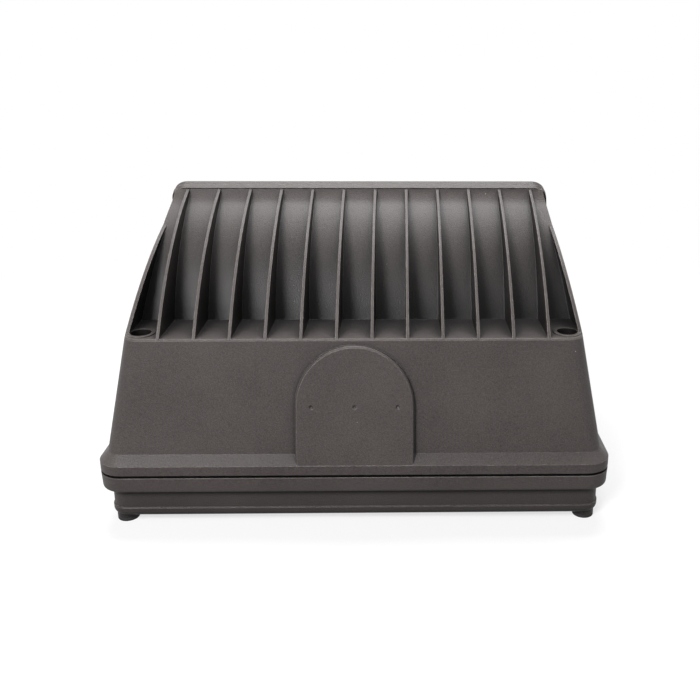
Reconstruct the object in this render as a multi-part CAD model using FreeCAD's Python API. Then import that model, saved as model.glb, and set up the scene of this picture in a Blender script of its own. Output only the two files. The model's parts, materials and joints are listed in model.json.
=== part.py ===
import FreeCAD, Part
import math
import os

os.makedirs("parts", exist_ok=True)

V = FreeCAD.Vector

# A finned wall pack light, lying on its back. X runs across the light, Y down the wall and Z out
# from the wall. The feet stand on Z = 0, and the origin is the middle of the light's footprint.
# All sizes are in millimetres and all angles in degrees.

# Overall sizes
band_width = 368.0          # housing at its parting band
band_length = 250.0
band_radius = 18.0

# Heights of the stack, from the wall outwards
foot_height = 6.0
tub_height = 22.0
flange_height = 12.0
parting_gap = 2.0
band_height = 7.0
wall_height = 81.0          # flare to ledge
rim_height = 86.0           # ledge to the back of the lens lip

# Back box
flange_taper = 0.6
flange_round = 2.2
tub_inset = 6.8
tub_radius = 12.0
tub_wall = 3.2
tub_floor = 3.5
tub_round = 4.0
rib_x = 130.0               # low floor ribs, three at each side
rib_length = 44.0
rib_pitch = 47.6
rib_thickness = 2.4
rib_height = 4.0
sill_height = 7.0
sill_step = 0.8
foot_radius = 7.75
foot_inset_x = 16.0         # foot centre from the band's side
foot_inset_y = 17.0
foot_pad = 2.5
wall_screw_radius = 3.25
entry_radius = 10.9         # half-inch conduit
entry_rim = 4.0
rear_rim = 7.0
rear_rim_height = 2.0
box_slot_spacing = 82.6     # round and square junction boxes
box_slot_length = 14.0
box_slot_radius = 2.6
gasket_inset = 2.6
gasket_width = 4.2
gasket_seat = 2.2
gasket_clearance = 0.3
gasket_play = 0.05

# Housing casting
flare_step = 6.4            # a 45 degree bevel, so its height too
wall_radius = 12.0
wall_root = 2.0             # how far the walls run down inside the bevel
mouth_step = 1.2            # the hollow is this much wider in the band than above it
side_draft = 10.2
front_draft = 10.8
far_draft = 26.6
skin = 3.2
ledge_depth = 43.0
ledge_bevel = 1.1
core_radius = 155.0
core_end_y = 11.5           # end of the plain core arc, short of the back of the lens lip
core_end_z = 73.5
rim_setback = 109.648424    # back of the lens lip, from the band's far face
fin_count = 12
fin_pitch = 25.0
fin_edge = 1.8
fin_draft = 0.85
fin_radius = 257.0
fin_end_step = 0.9          # fins end behind the lip, this far in from its edge
fin_start_step = 0.6        # fins start this far behind the ledge's edge
fin_root = 3.0              # how far the fins run down inside the casting
side_fin_start = 11.0
side_fin_thickness = 2.6
side_fin_radius = 190.0
side_fin_end_y = 27.5       # short of the back of the lens lip
side_fin_end_z = 62.5
side_fin_tail = 6.0
pad_half_width = 42.0
pad_arc_height = 41.5       # centre of the pad's arc above the parting band's top
pad_top_depth = 4.3         # pad's top in front of the ledge's edge
pad_bevel = 1.2
dimple_radius = 1.7
dimple_depth = 1.0
dimple_offset = 30.5

# Captive screws
screw_x = 152.4
screw_y = 13.4              # from the ledge's edge
screw_well_radius = 7.4
screw_boss_radius = 10.6
screw_ring_height = 0.7
screw_floor = 6.0
screw_rest_gap = 0.6        # retainer above the back box when the screw is home
screw_radius = 3.0
screw_clearance = 0.08
screw_slip = 0.5
screw_head_radius = 6.2
screw_head_height = 4.5
screw_thread = 13.0         # depth of the thread in the back box
screw_tip_clearance = 0.6
washer_radius = 5.2
washer_thickness = 1.0
oring_thickness = 1.6
seat_gap = 0.3
box_boss_radius = 8.0

# Lens and its frame
lens_slope = 58.0
lip_proud = 3.0
lip_thickness = 4.0
frame_thickness = 6.3
frame_step = 0.7
frame_width = 20.0
frame_round = 2.2
lens_thickness = 4.0
lens_inset = 13.0
lens_rebate = 2.6
lens_gasket_thickness = 1.6
lens_gasket_width = 4.0
pane_radius = 12.0
chamber_inset = 17.0
chamber_depth = 46.0
deck_thickness = 4.0
frame_screw_radius = 2.0
frame_screw_head = 3.6
frame_screw_sink = 2.6
frame_screw_head_height = 2.2
frame_screw_length = 9.0
frame_screw_inset = 9.2

# Light engine
board_width = 250.0
board_length = 110.0
board_thickness = 1.6
board_start = 34.0          # from the rim, down the slope
pad_sheet = 0.5
led_columns = 14
led_rows = 6
led_pitch_x = 17.0
led_pitch_s = 17.0
led_size = 5.0
led_height = 1.4
tray_sheet = 1.0
tray_clearance = 2.0
tray_top_inset = 3.0
tray_notch = 10.0           # gap in the tray for the board leads
tray_notch_height = 14.0
board_screw_radius = 1.5
board_screw_head = 2.9
board_screw_inset = 5.0

# Driver
driver_length = 160.0
driver_width = 50.0
driver_height = 33.0
driver_setback = 9.0        # from the inside of the ledge's front wall
driver_round = 3.0
bracket_sheet = 1.5
bracket_ear = 20.0
bracket_width = 30.0
bracket_corner = 6.0
bracket_window = (96.0, 14.0, 4.0)
bracket_boss_radius = 5.0
bracket_screw_radius = 2.0
lead_radius = 1.1
lead_sides = 8
lead_pitch = 4.0
board_lead_bend = 4.0
supply_lead_bend = 8.0
supply_reach = 32.0         # the supply leads turn down this far from the driver
plug_drop = 30.0
plug_size = (12.0, 16.0, 18.0)
grommet_radius = 4.0
grommet_flange = 1.3
grommet_lip = 1.5
grommet_x = -105.0
lead_exit = 0.8             # where the leads leave the driver's end, as a share of its width

# Hinge
hinge_offset = 4.5          # axis from the band's far face
knuckle_radius = 4.0
knuckle_width = 12.0
ear_width = 7.0
ear_gap = 0.4
hinge_x = 110.0
pin_radius = 2.5
pin_clearance = 0.06
pin_head_radius = 3.6
pin_head_height = 2.0
pin_press = 0.02            # the pins' play in the back box
pin_end = 0.4
ear_drop = 30.0             # the web leaves the knuckle at this angle
box_ear_root = 2.0          # how far the webs run into the flange and the band
band_ear_root = 4.0

# Wiring in the back box
plug_length = 9.0
plug_socket = 4.8
boss_reach = 4.0
block_length = 46.0
block_width = 22.0
block_height = 15.0
block_x = 0.0
block_y = -58.0
block_post_radius = 5.0
block_post_height = 4.0
block_post_inset = 6.0
block_notch = 4.0
block_notch_depth = 6.0
block_well_depth = 7.0
block_mouth = 5.0
block_mouth_low = 2.0
block_screw_radius = 2.6
ground_x = 74.0
ground_y = -58.0
ground_radius = 2.5
ground_head = 5.0
ground_head_height = 3.5
ground_boss_radius = 7.0
ground_boss_height = 8.0
ground_length = 6.0

# Levels and places worked out from the sizes above
z_tub = foot_height
z_flange = z_tub + tub_height
z_flange_top = z_flange + flange_height
z_band = z_flange_top + parting_gap
z_flare = z_band + band_height
z_wall = z_flare + flare_step
z_ledge = z_wall + wall_height
z_rim = z_ledge + rim_height
z_above = z_rim + 40.0
z_inside = z_tub + tub_floor
plug_z = z_inside + entry_radius + 2.0

half_width = band_width / 2
y_front = -(band_length + hinge_offset + knuckle_radius) / 2
y_far = y_front + band_length
y_hinge = y_far + hinge_offset
z_hinge = z_flange_top + parting_gap / 2


def draft(angle, height):
    return height * math.tan(math.radians(angle))


y_ledge = y_front + flare_step + draft(front_draft, wall_height)
y_rim = y_far - rim_setback
y_screw = y_ledge + screw_y
screw_travel = screw_thread - 0.5 + parting_gap + screw_tip_clearance
screw_floor_z = z_flange_top + screw_rest_gap + screw_travel + washer_thickness + seat_gap
foot_x = half_width - foot_inset_x
foot_y = (y_front + foot_inset_y, y_far - foot_inset_y)
tub_y = (y_front + tub_inset, y_far - tub_inset)
tub_half = half_width - tub_inset


def save(name, solids):
    """Write one node. A list of solids becomes a group of separate solids."""
    if isinstance(solids, list):
        shape = Part.makeCompound(solids)
    else:
        shape = solids
    shape.exportStep("parts/" + name + ".step")
    parts = shape.Solids
    volume = sum(solid.Volume for solid in parts)
    print(f"{name}: {len(parts)} solid(s), {volume / 1000:.2f} cm3, valid {shape.isValid()}")


# Outlines ---------------------------------------------------------------------------------------


def rounded_outline(points, radius, z=0.0):
    """A closed XY outline through the points, each corner rounded to the radius."""
    edges = []
    corners = []
    count = len(points)
    for i in range(count):
        corner = V(points[i][0], points[i][1], z)
        before = V(points[i - 1][0], points[i - 1][1], z)
        after = V(points[(i + 1) % count][0], points[(i + 1) % count][1], z)
        into = (before - corner).normalize()
        out = (after - corner).normalize()
        half_angle = into.getAngle(out) / 2
        reach = radius / math.tan(half_angle)
        bisector = (into + out).normalize()
        centre = corner + bisector * (radius / math.sin(half_angle))
        corners.append((corner + into * reach, centre - bisector * radius, corner + out * reach))
    for i in range(count):
        start, middle, end = corners[i]
        edges.append(Part.Arc(start, middle, end).toShape())
        edges.append(Part.makeLine(end, corners[(i + 1) % count][0]))
    return Part.Wire(edges)


def rectangle(half_x, y_low, y_high, radius, z):
    points = [(-half_x, y_low), (half_x, y_low), (half_x, y_high), (-half_x, y_high)]
    return rounded_outline(points, radius, z)


def prism(wire, height):
    return Part.Face(wire).extrude(V(0, 0, height))


def frustum(*wires):
    return Part.makeLoft(list(wires), True, True)


def arc_between(start, end, radius):
    """An arc from start to end in the YZ plane that bulges to the left of its direction."""
    chord = end - start
    length = chord.Length
    left = V(0, -chord.z, chord.y).normalize()
    sagitta = radius - math.sqrt(radius ** 2 - (length / 2) ** 2)
    middle = start + chord * 0.5 + left * sagitta
    return Part.Arc(start, middle, end).toShape()


def arc_centre(start, end, radius):
    chord = end - start
    left = V(0, -chord.z, chord.y).normalize()
    return start + chord * 0.5 - left * math.sqrt(radius ** 2 - (chord.Length / 2) ** 2)


def yz(y, z):
    return V(0, y, z)


def lines(*points):
    return [Part.makeLine(points[i], points[i + 1]) for i in range(len(points) - 1)]


def across(edges, x_low, x_high):
    """A YZ outline extruded across the light."""
    face = Part.Face(Part.Wire(edges))
    face.translate(V(x_low, 0, 0))
    return face.extrude(V(x_high - x_low, 0, 0))


def cylinder(radius, length, x, y, z, axis=V(0, 0, 1)):
    return Part.makeCylinder(radius, length, V(x, y, z), axis)


def box(x_low, x_high, y_low, y_high, z_low, z_high):
    return Part.makeBox(x_high - x_low, y_high - y_low, z_high - z_low, V(x_low, y_low, z_low))


def fuse(shape, others):
    return shape.multiFuse(others).removeSplitter()


def edges_where(shape, test):
    return [edge for edge in shape.Edges if test(edge)]


def level_edge(edge, z):
    """True for an edge that lies at one height."""
    limits = edge.BoundBox
    return abs(limits.ZMin - z) < 0.01 and abs(limits.ZMax - z) < 0.01


# The lens plane: x across, s down the slope from the rim, h outwards from the back of the lip ----

slope_cos = math.cos(math.radians(lens_slope))
slope_sin = math.sin(math.radians(lens_slope))
lens_place = FreeCAD.Placement(V(0, y_rim, z_rim), FreeCAD.Rotation(V(1, 0, 0), -lens_slope))


def on_slope(s, h):
    """The YZ point at s down the slope and h outwards."""
    return yz(y_rim + s * slope_cos + h * slope_sin, z_rim - s * slope_sin + h * slope_cos)


def wall_half(z):
    """Half the width of the drafted walls at a height."""
    return half_width - flare_step - draft(side_draft, z - z_wall)


def pane_length():
    """Where the slope meets the leaning far wall."""
    lean = math.tan(math.radians(far_draft))
    y_foot = y_far - flare_step
    gap = y_foot - lean * (z_rim - z_wall) - y_rim
    return gap / (slope_cos - lean * slope_sin)


slope_length = pane_length()


def pane_corners(inset):
    """The lip's four corners as (x, s), drawn in by the inset."""
    s_low = inset
    s_high = slope_length - inset
    x_low = wall_half(z_rim - s_low * slope_sin) + lip_proud - inset
    x_high = wall_half(z_rim - s_high * slope_sin) + lip_proud - inset
    return [(-x_low, s_low), (x_low, s_low), (x_high, s_high), (-x_high, s_high)]


def pane(inset, radius, h):
    """A rounded outline that follows the lip, drawn in by the inset."""
    return rounded_outline(pane_corners(inset), radius, h)


def to_slope(shape):
    placed = shape.copy()
    placed.Placement = lens_place
    return placed


# Back box ---------------------------------------------------------------------------------------


def gasket_ring(low, high, clearance):
    inner = gasket_inset + gasket_width + clearance
    outer = gasket_inset - clearance
    rings = []
    for inset in (outer, inner):
        wire = rectangle(half_width - inset, y_front + inset, y_far - inset, band_radius - inset, low)
        rings.append(prism(wire, high - low))
    return rings[0].cut(rings[1])


def ear(x_low, width, upwards):
    """A hinge lug: a round knuckle on a web that runs into the casting."""
    knuckle = cylinder(knuckle_radius, width, x_low, y_hinge, z_hinge, V(1, 0, 0))
    edge = y_hinge + knuckle_radius * math.cos(math.radians(ear_drop))
    drop = knuckle_radius * math.sin(math.radians(ear_drop))
    if upwards:
        root = y_far - band_ear_root
        root_low = z_band + 0.8
        root_high = z_flare + 2.0
        tip = z_hinge + drop
    else:
        root = y_far - box_ear_root
        root_low = z_flange_top - 0.8
        root_high = z_flange + 1.5
        tip = z_hinge - drop
    web = across(lines(yz(root, root_low), yz(root, root_high), yz(y_far, root_high), yz(edge, tip),
                       yz(y_hinge, z_hinge), yz(y_hinge - 1.0, root_low), yz(root, root_low)),
                 x_low, x_low + width)
    return knuckle.fuse(web)


def back_box():
    flange = frustum(
        rectangle(half_width - flange_taper, y_front + flange_taper, y_far - flange_taper,
                  band_radius - flange_taper, z_flange),
        rectangle(half_width, y_front, y_far, band_radius, z_flange_top))
    flange = flange.makeFillet(flange_round, edges_where(flange, lambda e: level_edge(e, z_flange)))
    tub = prism(rectangle(tub_half, tub_y[0], tub_y[1], tub_radius, z_tub), tub_height + 1.0)
    sill = prism(rectangle(tub_half + sill_step, tub_y[0] - sill_step, tub_y[1] + sill_step,
                           tub_radius + sill_step, z_tub), sill_height)
    sill = sill.makeFillet(tub_round, edges_where(sill, lambda e: level_edge(e, z_tub)))
    sill = sill.makeChamfer(sill_step / 2, edges_where(sill, lambda e: level_edge(e, z_tub + sill_height)))
    tub = tub.cut(box(-half_width, half_width, y_front, y_far, 0, z_tub + sill_height / 2))
    solid = fuse(flange, [tub, sill])
    feet = [cylinder(foot_radius, z_tub + tub_round - foot_pad, x, y, foot_pad)
            for x in (-foot_x, foot_x) for y in foot_y]
    plug_boss = cylinder(entry_radius + entry_rim, tub_inset + tub_wall + boss_reach,
                         0, y_far - tub_inset - tub_wall - boss_reach, plug_z, V(0, 1, 0))
    solid = fuse(solid, feet + [plug_boss])

    hollow = prism(rectangle(tub_half - tub_wall, tub_y[0] + tub_wall, tub_y[1] - tub_wall,
                             tub_radius - tub_wall, z_inside), z_above)
    keep = cylinder(entry_radius + entry_rim, boss_reach, 0, tub_y[1] - tub_wall - boss_reach,
                    plug_z, V(0, 1, 0))
    hollow = hollow.cut(keep)
    solid = solid.cut(hollow)
    solid = solid.cut(gasket_ring(z_flange_top - gasket_seat, z_flange_top + 1.0, gasket_play))

    additions = []
    for side in (-1, 1):
        additions.append(cylinder(box_boss_radius, z_flange_top - z_inside, side * screw_x, y_screw, z_inside))
        for x_low in (side * hinge_x - knuckle_width / 2 - ear_gap - ear_width,
                      side * hinge_x + knuckle_width / 2 + ear_gap):
            additions.append(ear(x_low, ear_width, False))
    additions.append(cylinder(entry_radius + rear_rim, rear_rim_height, 0, 0, z_inside))
    additions.append(cylinder(ground_boss_radius, ground_boss_height, ground_x, ground_y, z_inside))
    post_x = block_length / 2 - block_post_inset
    for x in (block_x - post_x, block_x + post_x):
        additions.append(cylinder(block_post_radius, block_post_height, x, block_y, z_inside))
    for x in (-rib_x, rib_x):
        for y in (-rib_pitch, 0.0, rib_pitch):
            additions.append(box(x - rib_length / 2, x + rib_length / 2, y - rib_thickness / 2,
                                 y + rib_thickness / 2, z_inside, z_inside + rib_height))
    solid = fuse(solid, additions)

    cuts = [cylinder(entry_radius, tub_floor + 4.0, 0, 0, z_tub - 1.0)]
    for side in (-1, 1):
        for y in foot_y:
            cuts.append(cylinder(wall_screw_radius, z_inside + 2.0, side * foot_x, y, -1.0))
        cuts.append(cylinder(screw_radius + screw_clearance, screw_thread + 1.0, side * screw_x, y_screw,
                             z_flange_top - screw_thread))
        slot_run = box_slot_length - 2 * box_slot_radius
        slot_x = side * box_slot_spacing / 2
        cuts.append(box(slot_x - slot_run / 2, slot_x + slot_run / 2, -box_slot_radius, box_slot_radius,
                        z_tub - 1.0, z_inside + 1.0))
        for end in (-slot_run / 2, slot_run / 2):
            cuts.append(cylinder(box_slot_radius, tub_floor + 2.0, slot_x + end, 0, z_tub - 1.0))
        cuts.append(cylinder(pin_radius + pin_press, 60.0, side * hinge_x - 30.0, y_hinge, z_hinge, V(1, 0, 0)))
    cuts.append(cylinder(entry_radius, 60.0, 0, tub_y[1] - 30.0, plug_z, V(0, 1, 0)))
    cuts.append(cylinder(ground_radius, ground_boss_height, ground_x, ground_y, z_inside + 1.0))
    return solid.cut(Part.makeCompound(cuts)).removeSplitter()


def foot_pads():
    """Rubber washers between the feet and the wall, round the wall screws."""
    pads = []
    for x in (-foot_x, foot_x):
        for y in foot_y:
            pad = cylinder(foot_radius, foot_pad, x, y, 0)
            pad = pad.cut(cylinder(wall_screw_radius, foot_pad, x, y, 0))
            pads.append(pad)
    return pads


def housing_gasket():
    return gasket_ring(z_flange_top - gasket_seat, z_band - gasket_clearance, 0.0)


def conduit_plug():
    """A flush screw-in plug with a hexagon socket."""
    y_out = y_far - 0.5
    body = cylinder(entry_radius - 0.05, plug_length, 0, y_out - plug_length, plug_z, V(0, 1, 0))
    body = body.makeChamfer(0.6, edges_where(body, lambda e: len(e.Vertexes) == 1))
    points = [V(plug_socket * math.cos(math.radians(60 * i)), y_out - plug_length / 2,
                plug_z + plug_socket * math.sin(math.radians(60 * i))) for i in range(6)]
    socket = Part.Face(Part.makePolygon(points + [points[0]])).extrude(V(0, plug_length, 0))
    return body.cut(socket)


def hinge_pins():
    pins = []
    reach = knuckle_width / 2 + ear_gap + ear_width
    for side in (-1, 1):
        start = side * hinge_x - reach
        pin = cylinder(pin_radius, 2 * (reach + pin_end), start - pin_end, y_hinge, z_hinge, V(1, 0, 0))
        head_x = side * hinge_x + side * (reach + 0.05 + pin_head_height / 2) - pin_head_height / 2
        head = cylinder(pin_head_radius, pin_head_height, head_x, y_hinge, z_hinge, V(1, 0, 0))
        pins.append(fuse(pin, [head]))
    return pins


def terminal_block():
    base_z = z_inside + block_post_height
    top_z = base_z + block_height
    body = box(block_x - block_length / 2, block_x + block_length / 2,
               block_y - block_width / 2, block_y + block_width / 2, base_z, top_z)
    for y in (block_y - block_width / 2, block_y + block_width / 2):
        body = body.cut(box(block_x - block_length, block_x + block_length, y - block_notch, y + block_notch,
                            top_z - block_notch_depth, top_z + 1.0))
    for x in terminal_places():
        well = cylinder(block_screw_radius + 0.6, 10.0, x, block_y, top_z - block_well_depth)
        mouth = box(x - block_mouth / 2, x + block_mouth / 2, block_y - block_width, block_y + block_width,
                    base_z + block_mouth_low, base_z + block_mouth_low + block_mouth)
        body = body.cut(well).cut(mouth)
    return body


def terminal_places():
    return [block_x + i * block_length / 4 for i in (-1, 0, 1)]


def hex_screw(radius, length, head_radius, head_height, x, y, z):
    """A hexagon head standing up from z, with its shank below."""
    points = [V(x + head_radius * math.cos(math.radians(60 * i + 30)),
                y + head_radius * math.sin(math.radians(60 * i + 30)), z) for i in range(6)]
    head = Part.Face(Part.makePolygon(points + [points[0]])).extrude(V(0, 0, head_height))
    cone = Part.makeCone(head_radius + head_height, head_radius * 0.82, head_height * 1.55, V(x, y, z))
    shank = cylinder(radius, length, x, y, z - length)
    shank = shank.makeChamfer(radius * 0.3, edges_where(shank, lambda e: level_edge(e, z - length)))
    return fuse(head.common(cone), [shank])


def ground_screw():
    return hex_screw(ground_radius - 0.02, ground_length, ground_head, ground_head_height,
                     ground_x, ground_y, z_inside + ground_boss_height)


# Housing ----------------------------------------------------------------------------------------


def wall_solid(inset, z_low, z_high):
    """The drafted walls as a solid block with rounded corners, drawn in by the inset."""
    low_half = wall_half(z_low) - inset
    high_half = wall_half(z_high) - inset
    sides = Part.Face(Part.makePolygon([V(-low_half, 0, z_low), V(low_half, 0, z_low), V(high_half, 0, z_high),
                                        V(-high_half, 0, z_high), V(-low_half, 0, z_low)]))
    sides.translate(V(0, y_front, 0))
    sides = sides.extrude(V(0, band_length, 0))
    front = y_front + flare_step + inset
    far = y_far - flare_step - inset
    ends = [yz(front + draft(front_draft, z_low - z_wall), z_low),
            yz(far - draft(far_draft, z_low - z_wall), z_low),
            yz(far - draft(far_draft, z_high - z_wall), z_high),
            yz(front + draft(front_draft, z_high - z_wall), z_high)]
    block = sides.common(across(lines(*ends, ends[0]), -half_width, half_width))
    corners = edges_where(block, lambda e: e.BoundBox.ZLength > (z_high - z_low) * 0.9)
    return block.makeFillet(max(wall_radius - inset, 3.0), corners)


def core_edges():
    """The finned surface in YZ: the core arc and the fillet that runs it up to the lip."""
    root = yz(y_ledge + ledge_depth, z_ledge)
    end = yz(y_rim - core_end_y, z_ledge + core_end_z)
    rim = on_slope(1.0, 0.0)
    middle = (end + rim) * 0.5 + yz(0.7, -0.9)
    return root, rim, [arc_between(root, end, core_radius), Part.Arc(end, middle, rim).toShape()]


def block_outline():
    """The casting's side outline without fins, from the flare's top round to the far wall."""
    root, rim, core = core_edges()
    low = z_wall - wall_root
    far = on_slope(slope_length + 20.0, 0.0)
    return (lines(yz(far.y + 40.0, low), yz(y_front, low), yz(y_front, z_ledge), root)
            + core + lines(rim, far, yz(far.y + 40.0, low)))


def fins():
    """Tapered fins, each cut from a wedge to the fin outline."""
    start = yz(y_ledge + fin_start_step, z_ledge)
    end = on_slope(fin_end_step, 0.0)
    inside = yz(y_rim - 1.0, z_ledge + rim_height - 30.0)
    low = z_ledge - fin_root
    outline = [arc_between(start, end, fin_radius)]
    outline += lines(end, inside, yz(y_ledge + ledge_depth + 14.0, low),
                     yz(y_ledge + 2 * fin_start_step, low), start)
    chord = (end - start).normalize()
    outwards = V(0, -chord.z, chord.y)
    depth = 80.0
    root_half = fin_edge / 2 + depth * math.tan(math.radians(fin_draft))
    top = start + outwards * 12.0 - chord * 10.0
    solids = []
    for i in range(fin_count):
        x = (i - (fin_count - 1) / 2) * fin_pitch
        corners = [top + V(x - fin_edge / 2, 0, 0), top + V(x + fin_edge / 2, 0, 0),
                   top + V(x + root_half, 0, 0) - outwards * depth,
                   top + V(x - root_half, 0, 0) - outwards * depth]
        wedge = Part.Face(Part.makePolygon(corners + [corners[0]])).extrude(chord * (y_rim - y_ledge + rim_height))
        solids.append(across(outline, x - 5.0, x + 5.0).common(wedge))
    return solids


def side_fins(outer):
    """The two outermost fins, which carry the side walls on up to the core."""
    start = yz(y_ledge + side_fin_start, z_ledge)
    end = yz(y_rim - side_fin_end_y, z_ledge + side_fin_end_z)
    low = z_ledge - fin_root
    outline = [arc_between(start, end, side_fin_radius)]
    outline += lines(end, yz(y_rim - side_fin_end_y + side_fin_tail, z_ledge),
                     yz(y_ledge + ledge_depth, low), yz(y_ledge + side_fin_start, low), start)
    inner = wall_solid(side_fin_thickness, z_wall, z_above)
    ring = outer.cut(inner)
    solids = []
    for x_low, x_high in ((-half_width, -half_width / 2), (half_width / 2, half_width)):
        solids.append(across(outline, x_low, x_high).common(ring))
    return solids


def front_pad():
    """The flat pad with a round top on the upper wall, proud of it and of the flare."""
    z_foot = z_flare - 1.0
    z_arc = z_flare + pad_arc_height
    z_top = z_arc + pad_half_width
    half = pad_half_width
    edges = [Part.makeLine(V(-half, 0, z_foot), V(half, 0, z_foot)),
             Part.makeLine(V(half, 0, z_foot), V(half, 0, z_arc)),
             Part.Arc(V(half, 0, z_arc), V(0, 0, z_top), V(-half, 0, z_arc)).toShape(),
             Part.makeLine(V(-half, 0, z_arc), V(-half, 0, z_foot))]
    face = Part.Face(Part.Wire(edges))
    face.translate(V(0, y_front - 5.0, 0))
    solid = face.extrude(V(0, 40.0, 0))
    lean = (y_ledge - pad_top_depth - y_front) / (z_top - z_foot)
    front = across(lines(yz(y_front, z_foot - 5.0), yz(y_front, z_foot),
                         yz(y_front + lean * (z_top + 10.0 - z_foot), z_top + 10.0),
                         yz(y_front + 80.0, z_top + 10.0), yz(y_front + 80.0, z_foot - 5.0),
                         yz(y_front, z_foot - 5.0)), -half_width, half_width)
    solid = solid.common(front)
    face = [f for f in solid.Faces if f.normalAt(0, 0).y < -0.9][0]
    solid = solid.makeChamfer(pad_bevel, [e for e in face.Edges if e.BoundBox.ZMax > z_foot + 1.0])
    for x in (-dimple_offset, 0.0, dimple_offset):
        point = V(x, y_front + lean * (z_arc - z_foot), z_arc)
        dimple = Part.makeCone(dimple_radius * 0.35, dimple_radius + 0.6, dimple_depth + 0.6,
                               point + V(0, dimple_depth, 0), V(0, -1, 0))
        solid = solid.cut(dimple)
    return solid


def bay_hollow():
    """The driver bay: open at the parting band, under the ledge, the core and the LED deck."""
    low = z_band - 5.0
    ceiling = z_ledge - skin
    root, rim, core = core_edges()
    end = yz(y_rim - core_end_y, z_ledge + core_end_z)
    centre = arc_centre(root, end, core_radius)
    inner = core_radius - skin
    corner = yz(centre.y - math.sqrt(inner ** 2 - (ceiling - centre.z) ** 2), ceiling)
    deck_h = -chamber_depth - deck_thickness
    slope_centre = lens_place.inverse().multVec(centre)
    deck_s = slope_centre.y - math.sqrt(inner ** 2 - (deck_h - slope_centre.z) ** 2)
    deck_top = on_slope(deck_s, deck_h)
    end_s = slope_length - chamber_inset + skin
    outline = lines(yz(y_front, low), yz(y_front, ceiling), corner)
    outline.append(arc_between(corner, deck_top, inner))
    outline += lines(deck_top, on_slope(end_s, deck_h), on_slope(end_s, -skin - 1.0),
                     on_slope(end_s + 60.0, -skin - 1.0), yz(y_far + 40.0, low), yz(y_front, low))
    region = across(outline, -half_width, half_width)
    step_z = z_wall - mouth_step
    inset = flare_step + skin - mouth_step
    mouth = prism(rectangle(half_width - inset, y_front + inset, y_far - inset, wall_radius - skin + mouth_step,
                            z_band - 1.0), step_z - z_band + 1.0)
    walls = wall_solid(skin, step_z - 1.0, z_above)
    return fuse(walls, [mouth]).common(region)


def chamber_hollow():
    """The lens-side chamber over the LED deck, with the lens rebate at its mouth."""
    chamber = prism(pane(chamber_inset, pane_radius - 4.0, -chamber_depth), chamber_depth + lip_thickness + 1.0)
    rebate = prism(pane(lens_inset - 0.5, pane_radius - 4.0, lip_thickness - lens_rebate), 20.0)
    return to_slope(fuse(chamber, [rebate]))


def frame_screw_places():
    """Two screws in each side of the frame and one in each end, as (x, s)."""
    places = []
    for s in (slope_length * 0.3, slope_length * 0.7):
        x = wall_half(z_rim - s * slope_sin) + lip_proud - frame_screw_inset
        places += [(-x, s), (x, s)]
    for s in (frame_screw_inset, slope_length - frame_screw_inset):
        places.append((0.0, s))
    return places


def front_housing():
    outer = wall_solid(0.0, z_wall - wall_root, z_above)
    block = outer.common(across(block_outline(), -half_width, half_width))
    ledge_edges = edges_where(block, lambda e: level_edge(e, z_ledge) and e.BoundBox.YMin < y_ledge + 30.0
                              and abs(e.BoundBox.YMin - (y_ledge + ledge_depth)) > 0.01)
    block = block.makeChamfer(ledge_bevel, ledge_edges)
    bevel = flare_step + wall_root / 2
    band = prism(rectangle(half_width, y_front, y_far, band_radius, z_band), band_height + bevel)
    band = band.makeChamfer(bevel, edges_where(band, lambda e: level_edge(e, z_flare + bevel)))
    lip = to_slope(prism(pane(0.0, pane_radius, 0.0), lip_thickness))
    rings = [cylinder(screw_boss_radius - 0.6, 2 * screw_ring_height, side * screw_x, y_screw,
                      z_ledge - screw_ring_height).common(outer) for side in (-1, 1)]
    solid = fuse(block, [band, lip] + rings)
    solid = fuse(solid, fins() + side_fins(outer) + [front_pad()])
    solid = solid.cut(bay_hollow()).cut(chamber_hollow())

    tube = []
    for side in (-1, 1):
        boss = cylinder(screw_boss_radius, z_ledge - z_band - 1.0, side * screw_x, y_screw, z_band)
        tube.append(boss.common(outer.fuse(band)))
        tube.append(ear(side * hinge_x - knuckle_width / 2, knuckle_width, True))
        boss_z = z_ledge - skin - driver_height
        tube.append(cylinder(bracket_boss_radius, driver_height + 1.0, side * bracket_x, bracket_y, boss_z))
    solid = fuse(solid, tube)

    cuts = []
    for side in (-1, 1):
        x = side * screw_x
        cuts.append(cylinder(screw_well_radius, 200.0, x, y_screw, screw_floor_z + screw_floor))
        cuts.append(cylinder(screw_radius + screw_slip, 60.0, x, y_screw, z_band - 1.0))
        cuts.append(cylinder(washer_radius + 0.8, screw_floor_z - z_band + 1.0, x, y_screw, z_band - 1.0))
        cuts.append(cylinder(pin_radius + pin_clearance, knuckle_width + 1.0,
                             side * hinge_x - knuckle_width / 2 - 0.5, y_hinge, z_hinge, V(1, 0, 0)))
        cuts.append(cylinder(bracket_screw_radius, 12.0, side * bracket_x, bracket_y,
                             z_ledge - skin - driver_height - 1.0))
    for x, s in frame_screw_places():
        cuts.append(to_slope(cylinder(frame_screw_radius, 10.0, x, s, -3.0)))
    for x, s in board_screw_places():
        cuts.append(to_slope(cylinder(board_screw_radius, 5.0, x, s, -chamber_depth - 3.0)))
    cuts.append(to_slope(cylinder(grommet_radius, 14.0, grommet_x, grommet_s, -chamber_depth - 10.0)))
    return solid.cut(Part.makeCompound(cuts)).removeSplitter()


# Lens stack -------------------------------------------------------------------------------------

lens_h = lip_thickness - lens_rebate + lens_gasket_thickness


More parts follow.
